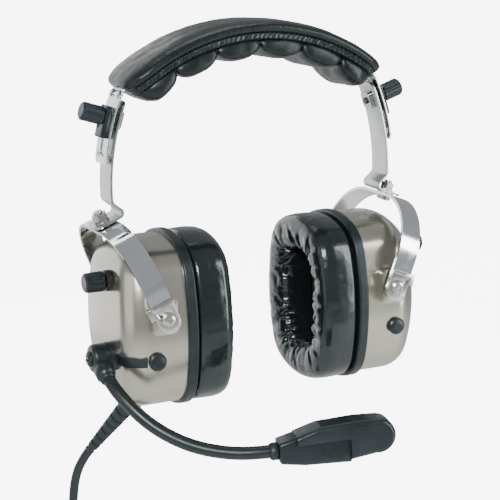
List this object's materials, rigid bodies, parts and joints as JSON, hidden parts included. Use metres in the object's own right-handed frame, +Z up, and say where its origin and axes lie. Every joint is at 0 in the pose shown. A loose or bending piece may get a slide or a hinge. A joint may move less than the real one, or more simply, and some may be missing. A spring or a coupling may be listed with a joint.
{
  "type": "aviation headset",
  "caption": "Over-ear aviation headset with padded sprung headband, clamped height arms, yoked cups, foam-filled ear seals and a swinging boom microphone",
  "frame": {"origin": "middle of the head pad's underside, where the headset rests on the head", "axes": "+X towards the wearer's left ear, -Y the way the wearer faces, +Z up"},
  "size_m": [0.2326, 0.1609, 0.5475],
  "materials": {
    "champagne_shell": "metallic champagne lacquer, glossy, fine flake",
    "chromed_steel": "polished chromed spring steel",
    "satin_steel": "satin grey steel strip",
    "zinc_steel": "bright zinc plated",
    "black_steel": "black oxide",
    "satin_aluminium": "stamped, satin",
    "black_vinyl": "soft glossy black vinyl over foam",
    "black_leather": "gathered glossy black leather-look cover",
    "black_plastic": "moulded black nylon, semi matt",
    "black_rubber": "moulded soft rubber",
    "black_cable_jacket": "smooth cable jacket",
    "black_fabric": "hook and loop strap",
    "grey_foam": "open-cell foam",
    "nickel_brass": "nickel plated turned brass"
  },
  "bodies": {
    "headband": {"headband_spring": "chromed_steel", "headpad_top": "black_leather", "headpad_cushion": "black_leather", "headpad_rivets": "chromed_steel"},
    "left_arm": {"left_slide_arm": "satin_steel", "left_clamp_spacer": "black_plastic", "left_clamp_keeper": "black_plastic", "left_clamp_nut_plate": "zinc_steel"},
    "left_knob": {"left_clamp_knob": "black_plastic"},
    "left_yoke_body": {"left_yoke": "chromed_steel", "left_yoke_bolt": "zinc_steel", "left_pivot_clips": "satin_aluminium"},
    "left_cup": {"left_dome": "champagne_shell", "left_flange": "black_plastic", "left_ear_seal": "black_vinyl", "left_speaker": "black_plastic", "left_filter_foam": "grey_foam", "left_shell_liner": "grey_foam", "left_pivot_brackets": "champagne_shell", "left_pivot_screws": "zinc_steel", "left_volume_control": "black_steel", "left_blanking_plug": "black_plastic"},
    "left_volume": {"left_volume_knob": "black_plastic"},
    "right_arm": {"right_slide_arm": "satin_steel", "right_clamp_spacer": "black_plastic", "right_clamp_keeper": "black_plastic", "right_clamp_nut_plate": "zinc_steel"},
    "right_knob": {"right_clamp_knob": "black_plastic"},
    "right_yoke_body": {"right_yoke": "chromed_steel", "right_yoke_bolt": "zinc_steel", "right_pivot_clips": "satin_aluminium"},
    "right_cup": {"right_dome": "champagne_shell", "right_flange": "black_plastic", "right_ear_seal": "black_vinyl", "right_speaker": "black_plastic", "right_filter_foam": "grey_foam", "right_shell_liner": "grey_foam", "right_pivot_brackets": "champagne_shell", "right_pivot_screws": "zinc_steel", "right_volume_control": "black_steel", "right_blanking_plug": "black_plastic", "boom_base": "black_plastic", "boom_pivot_screw": "black_steel", "boom_wire_cover": "black_plastic", "strain_relief": "black_rubber", "lead_run": "black_cable_jacket", "lead_coil": "black_cable_jacket", "coil_tie": "black_fabric", "lead_tail": "black_cable_jacket", "y_junction": "black_plastic", "branch_headphone": "black_cable_jacket", "branch_microphone": "black_cable_jacket", "plug_bodies": "black_plastic", "plug_shanks": "nickel_brass"},
    "right_volume": {"right_volume_knob": "black_plastic"},
    "boom": {"boom_swivel": "black_plastic", "boom_tube": "black_cable_jacket"},
    "microphone": {"mic_sleeve": "black_plastic", "mic_capsule": "black_plastic", "mic_grille": "black_steel"}
  },
  "joints": [
    {"name": "left_height", "type": "hinge", "parent": "headband", "child": "left_arm", "pos_m": [-0.04, 0, -0.06893], "axis": [0, 1, 0], "range_deg": [0, 8]},
    {"name": "left_clamp_turn", "type": "hinge", "parent": "left_arm", "child": "left_knob", "pos_m": [0.08817, 0, -0.02654], "axis": [0.9494, 0, 0.314], "range_deg": [0, 270]},
    {"name": "left_yoke_swivel", "type": "hinge", "parent": "left_arm", "child": "left_yoke_body", "pos_m": [0.09062, 0, -0.08809], "axis": [0.3746, 0, 0.9272], "range_deg": [-10, 10]},
    {"name": "left_cup_tilt", "type": "hinge", "parent": "left_yoke_body", "child": "left_cup", "pos_m": [0.07208, 0, -0.13399], "axis": [0, 1, 0], "range_deg": [-4, 12]},
    {"name": "left_volume_turn", "type": "hinge", "parent": "left_cup", "child": "left_volume", "pos_m": [0.09948, -0.012, -0.11699], "axis": [1, 0, 0], "range_deg": [-140, 140]},
    {"name": "right_height", "type": "hinge", "parent": "headband", "child": "right_arm", "pos_m": [0.04, 0, -0.06893], "axis": [0, -1, 0], "range_deg": [0, 8]},
    {"name": "right_clamp_turn", "type": "hinge", "parent": "right_arm", "child": "right_knob", "pos_m": [-0.08817, 0, -0.02654], "axis": [-0.9494, 0, 0.314], "range_deg": [0, 270]},
    {"name": "right_yoke_swivel", "type": "hinge", "parent": "right_arm", "child": "right_yoke_body", "pos_m": [-0.09062, 0, -0.08809], "axis": [-0.3746, 0, 0.9272], "range_deg": [-10, 10]},
    {"name": "right_cup_tilt", "type": "hinge", "parent": "right_yoke_body", "child": "right_cup", "pos_m": [-0.07208, 0, -0.13399], "axis": [0, -1, 0], "range_deg": [-4, 12]},
    {"name": "right_volume_turn", "type": "hinge", "parent": "right_cup", "child": "right_volume", "pos_m": [-0.09948, -0.012, -0.11699], "axis": [-1, 0, 0], "range_deg": [-140, 140]},
    {"name": "boom_swing", "type": "hinge", "parent": "right_cup", "child": "boom", "pos_m": [-0.10248, -0.015, -0.15999], "axis": [1, 0, 0], "range_deg": [-75, 20]},
    {"name": "mic_twist", "type": "hinge", "parent": "boom", "child": "microphone", "pos_m": [-0.02708, -0.088, -0.20449], "axis": [0.9701, -0.2362, 0.0553], "range_deg": [-45, 45]}
  ]
}
